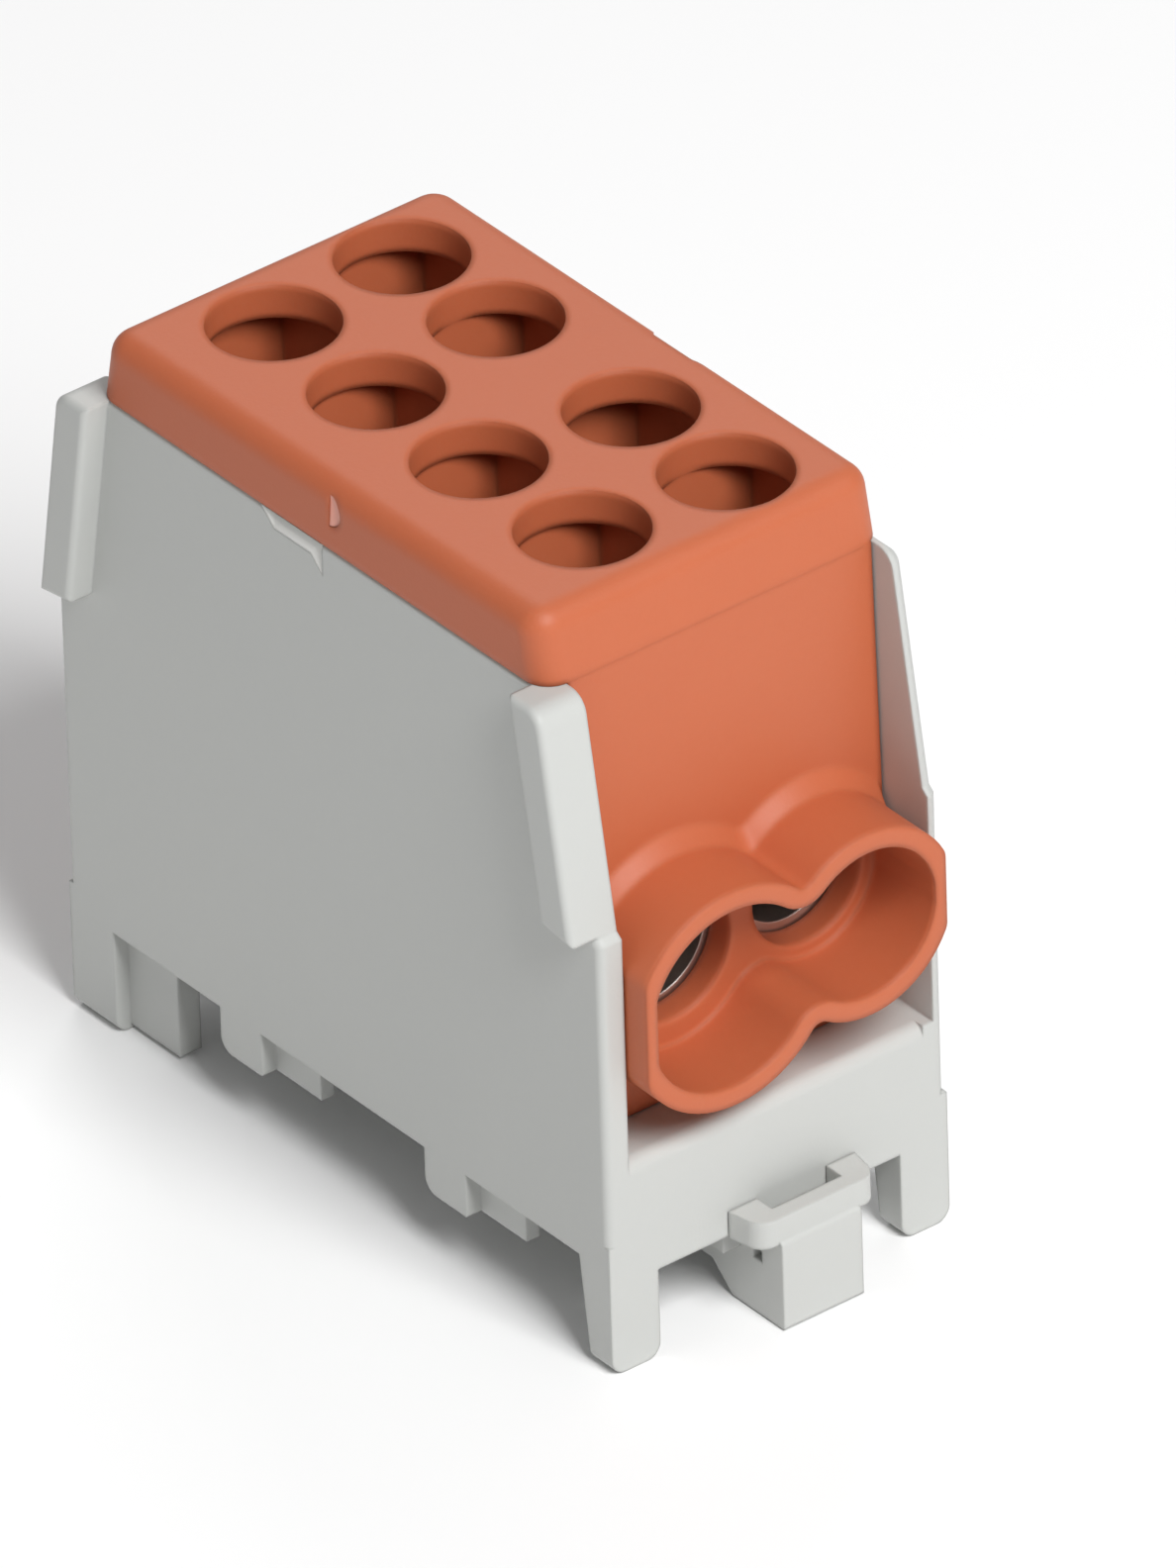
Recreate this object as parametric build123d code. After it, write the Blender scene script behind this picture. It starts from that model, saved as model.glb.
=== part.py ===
"""Modular power distribution block: base moulding, insulating cover and clamp bar with eight screws.

Lengths are in millimetres. While the part is built, X runs along the body towards the rail latch,
Y runs across it and Z is up from the feet, with X = 0 and Y = 0 in the middle between the two side
plates. The finished pieces are then moved so that the origin is the bottom centre of the whole part.
"""
from build123d import *
import os

# Base moulding: two side plates joined by a deck and two end walls
PLATE_LENGTH = 58.3
BODY_WIDTH = 28.8
PLATE_WALL = 1.9
FAR_PLATE_RECESS = 0.9
PLATE_BOTTOM = 8.3
SHOULDER_HEIGHT = 34.2
SHOULDER_STEP = 0.45
PLATE_LEAN = 2.8
PLATE_CORNER_RADIUS = 1.5
PLATE_EDGE_ROUND = 0.6
DECK_TOP = 16.3
DECK_WALL = 1.9
END_WALL = 1.9
END_WALL_BOTTOM = 6.9
END_WALL_ROUND = 1.0
PRY_NOTCH_X = -2.9
PRY_NOTCH_LENGTH = 6.5
PRY_NOTCH_HEIGHT = 1.3
PRY_NOTCH_FALL = 1.2
PRY_NOTCH_DEPTH = 1.2

# Coupling ribs on the near side plate
RIB_PROUD = 2.0
RIB_WIDTH = 3.3
RIB_BOTTOM_RISE = 0.5
RIB_ROUND = 0.5

# Feet and the small lugs under the side plates
FOOT_WIDTH = 4.1
FRONT_FOOT_TOP_LENGTH = 3.25
FRONT_FOOT_TIP_LENGTH = 2.25
BACK_FOOT_LENGTH = 4.65
FOOT_ROUND = 1.2
INNER_TAB_INSET = 1.25
INNER_TAB_WALL = 1.8
BACK_TAB_LENGTH = 5.4
BACK_TAB_BOTTOM = 0.4
LUG_BOTTOM = 4.9
LUG_LENGTH = 4.4
LUG_TAB_LENGTH = 4.9
LUG_TAB_WALL = 1.1
LUG_ROUND = 1.2
LUG_STARTS = (-12.8, 9.3)

# Rail seat, for a 35 mm top-hat rail that runs across the part
RAIL_WIDTH = 35.0
RAIL_BRIM = 1.0
RAIL_CLEARANCE = 0.2
RAIL_BACK = -18.9
HOOK_GRIP = 1.2
FIXED_HOOK_WALL = 2.4
FIXED_HOOK_WIDTH = 10.0
FIXED_HOOK_BOTTOM = 1.9
SEAT_RIB_WALL = 1.6
SEAT_RIB_WIDTH = 20.0
SEAT_RIB_INSET = 2.5

# Spring latch at the front end
LATCH_Y = 1.0
LATCH_HOOK_WIDTH = 6.8
LATCH_BOTTOM = 0.15
LATCH_REACH = 3.25
LOOP_SETBACK = 0.25
LOOP_BAR_LENGTH = 9.8
LOOP_BAR_DEPTH = 1.3
LOOP_CORNER_RADIUS = 1.4
LOOP_THICKNESS = 2.1
LOOP_TOP = 8.95
LOOP_ROOT_WIDTH = 10.8
LATCH_SLOT_LENGTH = 5.9
LATCH_GAP = 0.2
LATCH_TONGUE_BOTTOM = 2.1
LATCH_CHEEK_LENGTH = 5.5
LATCH_TIP = 0.5
LATCH_GUIDE_WALL = 1.5
LATCH_NOTCH_SETBACK = 2.2
LATCH_NOTCH_SIZE = 0.9
LATCH_NOTCH_DROP = 1.5

# Cover
TOP_HEIGHT = 57.1
CAP_HEIGHT = 5.2
COVER_TOP_LENGTH = 46.2
COVER_SHOULDER_LENGTH = 48.2
COVER_FOOT_LENGTH = 49.8
COVER_WALL = 1.0
CAP_SEAT_GAP = 0.05
PARTING_STEP = 0.08
COVER_FIT = 0.15
COVER_CORNER_RADIUS = 2.0
COVER_ROUND = 1.7
TOP_WALL = 2.6
END_FACE_WALL = 2.2
ACCESS_RADIUS = 4.66
SCREEN_BLOCK_GAP = 4.0
SCREEN_WALL = 1.0
NARROW_SCREEN_WALL = 0.7
FAR_NOTCH_X = 3.0
FAR_NOTCH_LENGTH = 6.6
FAR_NOTCH_DEPTH = 1.0
FAR_NOTCH_SLANT = 1.3
GATE_MARK_X = 1.3
GATE_MARK_DROP = 2.1
GATE_MARK_RADIUS = 1.2
GATE_MARK_DEPTH = 0.3
SNAP_DROP = 6.9
SNAP_LENGTH = 6.0
SNAP_SPACING = 24.0
SNAP_PROUD = 0.5
SNAP_CLEARANCE = 0.1

# Conductor mouths: a large lobe on the near row and a small one on the far row
NEAR_ROW_SHIFT = 2.2
FAR_ROW_SHIFT = 0.7
NEAR_LOBE_HEIGHT = 27.35
FAR_LOBE_HEIGHT = 28.2
NEAR_LOBE_EXTRA = 1.2
FAR_LOBE_LESS = 0.05
LOBE_WALL = 1.45
LOBE_SIDE_WALL = 0.9
WAIST_RADIUS = 2.6
OUTER_WAIST_RADIUS = 0.9
LOBE_CORNER_RADIUS = 1.5
FAR_LOBE_INSET = 0.2
MOUTH_REACH = 31.4
MOUTH_FLARE = 0.8
NEAR_HOLE_RADIUS = 5.0
FAR_HOLE_RADIUS = 4.65

# Terminal block, screws and pressure feet
BLOCK_BOTTOM = 20.75
BLOCK_TOP = 42.0
BLOCK_FIT = 0.15
BLOCK_CHAMFER = 0.8
NEAR_BORE_RADIUS = 4.6
FAR_BORE_RADIUS = 4.0
FAR_BORE_WEB = 4.0
NEAR_PITCH = 11.0
FAR_PITCH = 10.1
FAR_MIDDLE_GAP = 14.4
SCREW_RADIUS = 4.0
THREAD_CLEARANCE = 0.07
SCREW_TOP_DROP = 5.8
SOCKET_SIZE = 5.0
SOCKET_DEPTH = 5.0
SHOE_BOTTOM = 32.5
SHOE_THICKNESS = 2.0
SHOE_LENGTH = 6.0
SHOE_WIDTH = 5.0
SHOE_GAP = 0.06

# Places worked out from the sizes above
PLATE_END = PLATE_LENGTH / 2
PLATE_TOP = TOP_HEIGHT - CAP_HEIGHT
RIB_BOTTOM = SHOULDER_HEIGHT + RIB_BOTTOM_RISE
SIDE_OUT = BODY_WIDTH / 2
SIDE_IN = SIDE_OUT - PLATE_WALL
FAR_WALL_IN = SIDE_IN + FAR_PLATE_RECESS
CORE_SIDES = {-1: -(SIDE_IN - COVER_FIT), 1: FAR_WALL_IN - COVER_FIT}
CAVITY_SIDES = {side: y - side * COVER_WALL for side, y in CORE_SIDES.items()}
CAVITY_END = COVER_FOOT_LENGTH / 2 - END_FACE_WALL - COVER_FIT
MOUTH_FLOOR = CAVITY_END + END_FACE_WALL
LATCH_FRONT = PLATE_END + LATCH_REACH
RAIL_FRONT = RAIL_BACK + RAIL_WIDTH
HOOK_TOP = LUG_BOTTOM - RAIL_BRIM - RAIL_CLEARANCE
SNAP_HEIGHT = PLATE_TOP - SNAP_DROP
SCREEN_BOTTOM = BLOCK_TOP + SCREEN_BLOCK_GAP
SCREW_TOP = TOP_HEIGHT - SCREW_TOP_DROP
GATE_MARK_HEIGHT = TOP_HEIGHT - GATE_MARK_DROP
NEAR_ROW_Y = -(SIDE_OUT / 2 - NEAR_ROW_SHIFT)
FAR_ROW_Y = SIDE_OUT / 2 - FAR_ROW_SHIFT
ROW_SPACING = FAR_ROW_Y - NEAR_ROW_Y
NEAR_LOBE_RADIUS = ROW_SPACING / 2 + NEAR_LOBE_EXTRA
FAR_LOBE_RADIUS = ROW_SPACING / 2 - FAR_LOBE_LESS
NEAR_XS = [NEAR_PITCH * (i - 1.5) for i in range(4)]
FAR_XS = [
    side * (FAR_MIDDLE_GAP / 2 + step * FAR_PITCH) for side, step in ((-1, 1), (-1, 0), (1, 0), (1, 1))
]
ORIGIN_SHIFT = Vector(-(LATCH_FRONT - MOUTH_REACH) / 2, RIB_PROUD / 2, 0)


def box_between(low, high):
    """A box from its lowest corner to its highest corner."""
    size = [b - a for a, b in zip(low, high)]
    return Pos(*[(a + b) / 2 for a, b in zip(low, high)]) * Box(*size)


def side_prism(points, y_low, y_high):
    """A prism whose outline is given as X, Z points and which runs from y_low to y_high."""
    outline = Wire.make_polygon([Vector(x, y_low, z) for x, z in points], close=True)
    return extrude(Face(outline), amount=y_high - y_low, dir=(0, 1, 0))


def flat_prism(points, z_low, z_high):
    """A prism whose outline is given as X, Y points and which runs from z_low to z_high."""
    outline = Wire.make_polygon([Vector(x, y, z_low) for x, y in points], close=True)
    return extrude(Face(outline), amount=z_high - z_low, dir=(0, 0, 1))


def both_ends(points):
    """A closed outline from the points of its +X half, listed from bottom to top."""
    return points + [(-x, z) for x, z in reversed(points)]


def plate_end(height):
    """X of the side plate's leaning end at a height above the shoulder."""
    rise = (height - SHOULDER_HEIGHT) / (PLATE_TOP - SHOULDER_HEIGHT)
    return PLATE_END - SHOULDER_STEP - PLATE_LEAN * rise


def side_plate(side):
    """One side plate with its shoulders and leaning ends; side is -1 (near) or 1 (far).

    The upright edges are rounded on the near plate and chamfered on the far one.
    """
    outline = both_ends([
        (PLATE_END, PLATE_BOTTOM),
        (PLATE_END, SHOULDER_HEIGHT),
        (plate_end(SHOULDER_HEIGHT + SHOULDER_STEP), SHOULDER_HEIGHT + SHOULDER_STEP),
        (plate_end(PLATE_TOP), PLATE_TOP),
    ])
    plate = side_prism(outline, *sorted((side * SIDE_OUT, side * SIDE_IN)))
    corners = [e for e in plate.edges().filter_by(Axis.Y) if e.center().Z > PLATE_TOP - 0.01]
    plate = fillet(corners, PLATE_CORNER_RADIUS)
    ends = [
        e for e in plate.edges()
        if abs(e.center().Y) > SIDE_OUT - 0.01 and abs(e.center().X) > PLATE_END / 2
    ]
    ease = fillet if side < 0 else chamfer
    return ease(ends, PLATE_EDGE_ROUND)


def coupling_rib(end):
    """The rib that stands out of the near plate along one leaning end; end is 1 or -1."""
    outline = [
        (end * (plate_end(RIB_BOTTOM) - RIB_WIDTH), RIB_BOTTOM + RIB_ROUND),
        (end * plate_end(RIB_BOTTOM), RIB_BOTTOM),
        (end * plate_end(PLATE_TOP), PLATE_TOP),
        (end * (plate_end(PLATE_TOP) - RIB_WIDTH), PLATE_TOP),
    ]
    rib = side_prism(outline, -SIDE_OUT - RIB_PROUD, -SIDE_IN)
    corner = rib.edges().filter_by(Axis.Y).group_by(Axis.Z)[-1].sort_by(Axis.X)[-1 if end > 0 else 0]
    rib = fillet(corner, PLATE_CORNER_RADIUS)
    outer = [
        e for e in rib.edges()
        if e.center().Y < -SIDE_OUT + 0.01 and abs(e.tangent_at(0.5).Y) < 0.5
    ]
    return fillet(outer, RIB_ROUND)


def front_foot(side):
    """The tapered foot at the latch end, on the near (-1) or far (1) plate."""
    foot = side_prism(
        [
            (PLATE_END - FRONT_FOOT_TOP_LENGTH, PLATE_BOTTOM),
            (PLATE_END - FRONT_FOOT_TIP_LENGTH, 0),
            (PLATE_END, 0),
            (PLATE_END, PLATE_BOTTOM + PLATE_WALL),
            (PLATE_END - FRONT_FOOT_TOP_LENGTH, PLATE_BOTTOM + PLATE_WALL),
        ],
        *sorted((side * SIDE_OUT, side * (SIDE_OUT - FOOT_WIDTH))),
    )
    return fillet(rounded_foot_edges(foot), FOOT_ROUND)


def rounded_foot_edges(foot):
    """The two long edges under a foot, which are rounded across the part."""
    return [e for e in foot.edges().filter_by(Axis.X) if e.center().Z < 0.01]


def back_foot(side):
    """The back foot: an outer tab flush with the plate and a longer tab set in from it."""
    y_low, y_high = sorted((side * SIDE_OUT, side * (SIDE_OUT - FOOT_WIDTH)))
    tab_start = -PLATE_END + BACK_FOOT_LENGTH
    outer = box_between((-PLATE_END, y_low, 0), (tab_start, y_high, PLATE_BOTTOM + PLATE_WALL))
    outer = fillet(rounded_foot_edges(outer), FOOT_ROUND)
    return outer + set_in_tab(
        tab_start - FOOT_ROUND, tab_start + BACK_TAB_LENGTH, BACK_TAB_BOTTOM, INNER_TAB_WALL, side
    )


def set_in_tab(x_low, x_high, bottom, wall, side):
    """A tab under a side plate that is set in from the plate's outer face."""
    tab_out = side * (SIDE_OUT - INNER_TAB_INSET)
    tab_in = side * (SIDE_OUT - INNER_TAB_INSET - wall)
    y_low, y_high = sorted((tab_out, tab_in))
    return box_between((x_low, y_low, bottom), (x_high, y_high, PLATE_BOTTOM + PLATE_WALL))


def rail_lug(start, side):
    """A lug under a side plate with its set-in tab; both end at the rail's seat plane."""
    y_low, y_high = sorted((side * SIDE_OUT, side * SIDE_IN))
    lug = box_between(
        (start, y_low, LUG_BOTTOM), (start + LUG_LENGTH, y_high, PLATE_BOTTOM + PLATE_WALL)
    )
    back_edge = lug.edges().filter_by(Axis.Y).group_by(Axis.Z)[0].sort_by(Axis.X)[0]
    lug = fillet(back_edge, LUG_ROUND)
    tab_end = start + LUG_LENGTH + LUG_TAB_LENGTH
    return lug + set_in_tab(start + LUG_ROUND, tab_end, LUG_BOTTOM, LUG_TAB_WALL, side)


def fixed_hook():
    """The rigid hook under the deck that takes the back edge of the rail."""
    face = RAIL_BACK - RAIL_CLEARANCE
    back = face - FIXED_HOOK_WALL
    tip = RAIL_BACK + HOOK_GRIP
    root = DECK_TOP - DECK_WALL / 2
    outline = [
        (back, root),
        (back, FIXED_HOOK_BOTTOM),
        (face, FIXED_HOOK_BOTTOM),
        (tip, HOOK_TOP - LATCH_TIP),
        (tip, HOOK_TOP),
        (face, HOOK_TOP),
        (face, root),
    ]
    return side_prism(outline, LATCH_Y - FIXED_HOOK_WIDTH / 2, LATCH_Y + FIXED_HOOK_WIDTH / 2)


def seat_rib(x_middle):
    """A rib across the underside that rests on the rail's brim."""
    return box_between(
        (x_middle - SEAT_RIB_WALL / 2, LATCH_Y - SEAT_RIB_WIDTH / 2, LUG_BOTTOM),
        (x_middle + SEAT_RIB_WALL / 2, LATCH_Y + SEAT_RIB_WIDTH / 2, DECK_TOP - DECK_WALL / 2),
    )


def latch_guide(side):
    """The rib under the deck that guides one cheek of the rail latch."""
    inner = LATCH_HOOK_WIDTH / 2 + LATCH_GAP
    y_low, y_high = sorted((LATCH_Y + side * inner, LATCH_Y + side * (inner + LATCH_GUIDE_WALL)))
    return box_between(
        (RAIL_FRONT - SEAT_RIB_INSET, y_low, LUG_BOTTOM),
        (PLATE_END - END_WALL / 2, y_high, DECK_TOP - DECK_WALL / 2),
    )


def end_wall(end):
    """The low wall that closes one end of the base under the mouth."""
    x_low, x_high = sorted((end * PLATE_END, end * (PLATE_END - END_WALL)))
    half_width = SIDE_OUT - PLATE_WALL / 2
    wall = box_between((x_low, -half_width, END_WALL_BOTTOM), (x_high, half_width, DECK_TOP))
    top = [
        e for e in wall.edges().filter_by(Axis.Y)
        if e.center().Z > DECK_TOP - 0.01 and abs(e.center().X) > PLATE_END - 0.01
    ]
    return fillet(top, END_WALL_ROUND)


def block_pedestal(x_middle):
    """A rib on the deck that carries the terminal block."""
    inset = BLOCK_CHAMFER + BLOCK_FIT
    return box_between(
        (x_middle - PLATE_WALL / 2, CAVITY_SIDES[-1] + inset, DECK_TOP - DECK_WALL / 2),
        (x_middle + PLATE_WALL / 2, CAVITY_SIDES[1] - inset, BLOCK_BOTTOM),
    )


def snap_positions():
    """X of the two snap ridges on each side."""
    return (-SNAP_SPACING / 2, SNAP_SPACING / 2)


def snap_ridge(x_middle, side, grow=0.0):
    """A roof-shaped ridge on the cover's side; grown a little, it is the pocket in the plate."""
    reach = SNAP_PROUD + COVER_FIT + grow
    root = COVER_WALL / 2
    start = x_middle - SNAP_LENGTH / 2 - grow
    root_y = CORE_SIDES[side] - side * root
    outline = Wire.make_polygon(
        [
            Vector(start, root_y, SNAP_HEIGHT - reach - root),
            Vector(start, CORE_SIDES[side] + side * reach, SNAP_HEIGHT),
            Vector(start, root_y, SNAP_HEIGHT + reach + root),
        ],
        close=True,
    )
    return extrude(Face(outline), amount=SNAP_LENGTH + 2 * grow, dir=(1, 0, 0))


def pry_notch():
    """The shallow recess in the near plate's top edge, with a lower step at its front end."""
    start = PRY_NOTCH_X - PRY_NOTCH_LENGTH / 2
    end = PRY_NOTCH_X + PRY_NOTCH_LENGTH / 2
    floor = PLATE_TOP - PRY_NOTCH_HEIGHT
    outline = [
        (start, PLATE_TOP + 1),
        (start, PLATE_TOP),
        (start + PRY_NOTCH_HEIGHT, floor),
        (end - PRY_NOTCH_FALL, floor),
        (end, floor - PRY_NOTCH_FALL),
        (end, PLATE_TOP + 1),
    ]
    return side_prism(outline, -SIDE_OUT - 1, -SIDE_OUT + PRY_NOTCH_DEPTH)


def make_base():
    """The one-piece base moulding."""
    base = side_plate(-1) + side_plate(1)
    base -= box_between(
        (-PLATE_LENGTH, SIDE_IN - 1, DECK_TOP), (PLATE_LENGTH, FAR_WALL_IN, PLATE_TOP + 1)
    )
    half_width = SIDE_OUT - PLATE_WALL / 2
    base += box_between(
        (-PLATE_END + END_WALL / 2, -half_width, DECK_TOP - DECK_WALL),
        (PLATE_END - END_WALL / 2, half_width, DECK_TOP),
    )
    for end in (-1, 1):
        base += end_wall(end)
        base += coupling_rib(end)
        base += block_pedestal(end * CAVITY_END / 2)
    for side in (-1, 1):
        base += front_foot(side)
        base += back_foot(side)
        base += latch_guide(side)
        for start in LUG_STARTS:
            base += rail_lug(start, side)
        for x_middle in snap_positions():
            base -= snap_ridge(x_middle, side, grow=SNAP_CLEARANCE)
    base += fixed_hook()
    base += seat_rib(RAIL_BACK + SEAT_RIB_INSET)
    base += seat_rib(RAIL_FRONT - SEAT_RIB_INSET)
    return base - pry_notch()


def make_rail_latch():
    """The spring latch: a hook with its ramp and tongue, and the loop for a screwdriver."""
    stop = RAIL_FRONT + RAIL_CLEARANCE
    tip = RAIL_FRONT - HOOK_GRIP
    loop_bottom = LOOP_TOP - LOOP_THICKNESS
    hook_top = END_WALL_BOTTOM - LATCH_GAP
    bar_front = LATCH_FRONT - LOOP_SETBACK
    bar_back = bar_front - LOOP_BAR_DEPTH
    hook = side_prism(
        [
            (LATCH_FRONT, LATCH_BOTTOM),
            (LATCH_FRONT, loop_bottom),
            (bar_front, loop_bottom + LOOP_SETBACK),
            (bar_back, loop_bottom + LOOP_SETBACK),
            (bar_back, hook_top),
            (stop, hook_top),
            (stop, HOOK_TOP),
            (tip, HOOK_TOP),
            (tip, HOOK_TOP - LATCH_TIP),
            (stop, LATCH_TONGUE_BOTTOM),
            (LATCH_FRONT - LATCH_CHEEK_LENGTH - LATCH_TONGUE_BOTTOM, LATCH_TONGUE_BOTTOM),
            (LATCH_FRONT - LATCH_CHEEK_LENGTH, LATCH_BOTTOM),
        ],
        LATCH_Y - LATCH_HOOK_WIDTH / 2,
        LATCH_Y + LATCH_HOOK_WIDTH / 2,
    )
    root_x = PLATE_END + LATCH_GAP / 2
    half_bar = LOOP_BAR_LENGTH / 2
    half_root = LOOP_ROOT_WIDTH / 2
    half_slot = LATCH_SLOT_LENGTH / 2
    corners = [
        (root_x, LATCH_Y - half_root),
        (bar_front, LATCH_Y - half_bar),
        (bar_front, LATCH_Y + half_bar),
        (root_x, LATCH_Y + half_root),
        (root_x, LATCH_Y + half_slot),
        (bar_back, LATCH_Y + half_slot),
        (bar_back, LATCH_Y - half_slot),
        (root_x, LATCH_Y - half_slot),
    ]
    loop = flat_prism(corners, loop_bottom, LOOP_TOP)
    loop = fillet(loop.edges().filter_by(Axis.Z).group_by(Axis.X)[-1], LOOP_CORNER_RADIUS)
    notch_front = LATCH_FRONT - LATCH_NOTCH_SETBACK
    notch_top = loop_bottom - LATCH_NOTCH_DROP
    notch = box_between(
        (notch_front - LATCH_NOTCH_SIZE, LATCH_Y - LATCH_HOOK_WIDTH, notch_top - LATCH_NOTCH_SIZE),
        (notch_front, LATCH_Y - LATCH_HOOK_WIDTH / 2 + LATCH_NOTCH_SIZE, notch_top),
    )
    return hook + loop - notch


def lobe_outline(x, grow, side_wall, waist_radius):
    """The figure-eight outline of the two lobes, grown outwards and cut flat at both sides."""
    low = CORE_SIDES[-1] + side_wall
    high = CORE_SIDES[1] - FAR_LOBE_INSET - side_wall
    near = Pos(NEAR_ROW_Y, NEAR_LOBE_HEIGHT) * Circle(NEAR_LOBE_RADIUS + grow)
    far = Pos(FAR_ROW_Y, FAR_LOBE_HEIGHT) * Circle(FAR_LOBE_RADIUS + grow)
    outline = near + far
    waist = [v for v in outline.vertices() if NEAR_ROW_Y < v.X < FAR_ROW_Y]
    outline = fillet(waist, waist_radius)
    outline &= Pos((low + high) / 2, NEAR_LOBE_HEIGHT) * Rectangle(high - low, 4 * NEAR_LOBE_RADIUS)
    corners = [v for v in outline.vertices() if not low + 0.01 < v.X < high - 0.01]
    return Plane.YZ.offset(x) * fillet(corners, LOBE_CORNER_RADIUS)


def cover_cap():
    """The cap that covers the plates' top edges, with rounded corners and edges."""
    cap = side_prism(
        both_ends([
            (COVER_SHOULDER_LENGTH / 2, PLATE_TOP + CAP_SEAT_GAP),
            (COVER_TOP_LENGTH / 2, TOP_HEIGHT),
        ]),
        -SIDE_OUT,
        SIDE_OUT,
    )
    upright = [e for e in cap.edges() if PLATE_TOP + 1 < e.center().Z < TOP_HEIGHT - 1]
    cap = fillet(upright, COVER_CORNER_RADIUS)
    return fillet(cap.faces().sort_by(Axis.Z)[-1].edges(), COVER_ROUND)


def cover_body():
    """The part of the cover between the plates, a little wider at its foot than at the cap."""
    step = COVER_SHOULDER_LENGTH / 2 - PARTING_STEP
    return side_prism(
        both_ends([
            (COVER_FOOT_LENGTH / 2, DECK_TOP + COVER_FIT),
            (step, PLATE_TOP + CAP_SEAT_GAP),
            (step - COVER_CORNER_RADIUS, PLATE_TOP + COVER_CORNER_RADIUS),
        ]),
        CORE_SIDES[-1],
        CORE_SIDES[1],
    )


def add_mouth(cover, end):
    """The collar of one end, which flares where it meets the end face."""
    start = end * (COVER_TOP_LENGTH / 2 - END_FACE_WALL / 2)
    outline = lobe_outline(start, LOBE_WALL, 0, OUTER_WAIST_RADIUS)
    cover += extrude(outline, amount=end * (MOUTH_REACH - abs(start)), dir=(1, 0, 0))
    flare_end = end * (MOUTH_FLOOR + MOUTH_FLARE)
    flare_start = end * (MOUTH_FLOOR - MOUTH_FLARE / 2)
    wide = LOBE_WALL + MOUTH_FLARE * 3 / 2
    cover += loft(
        [
            lobe_outline(flare_start, wide, 0, OUTER_WAIST_RADIUS).face(),
            lobe_outline(flare_end, LOBE_WALL, 0, OUTER_WAIST_RADIUS).face(),
        ],
        ruled=True,
    )
    return cover


def cut_mouth(cover, end):
    """The funnel and the two wire holes of one end."""
    floor = end * MOUTH_FLOOR
    funnel = lobe_outline(floor, 0, LOBE_SIDE_WALL, WAIST_RADIUS)
    cover -= extrude(funnel, amount=end * (MOUTH_REACH - MOUTH_FLOOR + 1), dir=(1, 0, 0))
    for y, z, radius in (
        (NEAR_ROW_Y, NEAR_LOBE_HEIGHT, NEAR_HOLE_RADIUS),
        (FAR_ROW_Y, FAR_LOBE_HEIGHT, FAR_HOLE_RADIUS),
    ):
        cover -= Pos(floor, y, z) * Rot(0, 90, 0) * Cylinder(radius, 3 * END_FACE_WALL)
    return cover


def far_notch():
    """The shallow notch in the cover's far long side."""
    start = FAR_NOTCH_X - FAR_NOTCH_LENGTH / 2
    end = FAR_NOTCH_X + FAR_NOTCH_LENGTH / 2
    return flat_prism(
        [
            (start, SIDE_OUT + 1),
            (start, SIDE_OUT),
            (start + FAR_NOTCH_SLANT, SIDE_OUT - FAR_NOTCH_DEPTH),
            (end - FAR_NOTCH_SLANT, SIDE_OUT - FAR_NOTCH_DEPTH),
            (end, SIDE_OUT),
            (end, SIDE_OUT + 1),
        ],
        PLATE_TOP - 1,
        TOP_HEIGHT + 1,
    )


def gate_mark():
    """The small D-shaped sink that the moulding gate leaves on the cap's near side."""
    disc = Pos(GATE_MARK_X, -SIDE_OUT, GATE_MARK_HEIGHT) * Rot(90, 0, 0) * Cylinder(
        GATE_MARK_RADIUS, 2 * GATE_MARK_DEPTH
    )
    straight_side = box_between(
        (GATE_MARK_X, -SIDE_OUT - 1, GATE_MARK_HEIGHT - GATE_MARK_RADIUS),
        (GATE_MARK_X + GATE_MARK_RADIUS, -SIDE_OUT + 1, GATE_MARK_HEIGHT + GATE_MARK_RADIUS),
    )
    return disc & straight_side


def access_places():
    """X and Y of the eight screws: the near row first, then the far row."""
    return [(x, NEAR_ROW_Y) for x in NEAR_XS] + [(x, FAR_ROW_Y) for x in FAR_XS]


def make_screens():
    """The insulating screens that hang from the top between neighbouring screws."""
    high = TOP_HEIGHT - TOP_WALL / 2
    between_rows = (NEAR_ROW_Y + FAR_ROW_Y) / 2
    long_end = CAVITY_END + END_FACE_WALL / 4
    near_end = CAVITY_SIDES[-1] - COVER_WALL / 4
    far_end = CAVITY_SIDES[1] + COVER_WALL / 4
    screens = box_between(
        (-long_end, between_rows - SCREEN_WALL / 2, BLOCK_TOP + BLOCK_FIT),
        (long_end, between_rows + SCREEN_WALL / 2, high),
    )
    for left, right in zip(NEAR_XS, NEAR_XS[1:]):
        x = (left + right) / 2
        screens += box_between(
            (x - SCREEN_WALL / 2, near_end, SCREEN_BOTTOM), (x + SCREEN_WALL / 2, between_rows, high)
        )
    for left, right in zip(FAR_XS, FAR_XS[1:]):
        x = (left + right) / 2
        screens += box_between(
            (x - NARROW_SCREEN_WALL / 2, between_rows, SCREEN_BOTTOM),
            (x + NARROW_SCREEN_WALL / 2, far_end, high),
        )
    return screens


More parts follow.
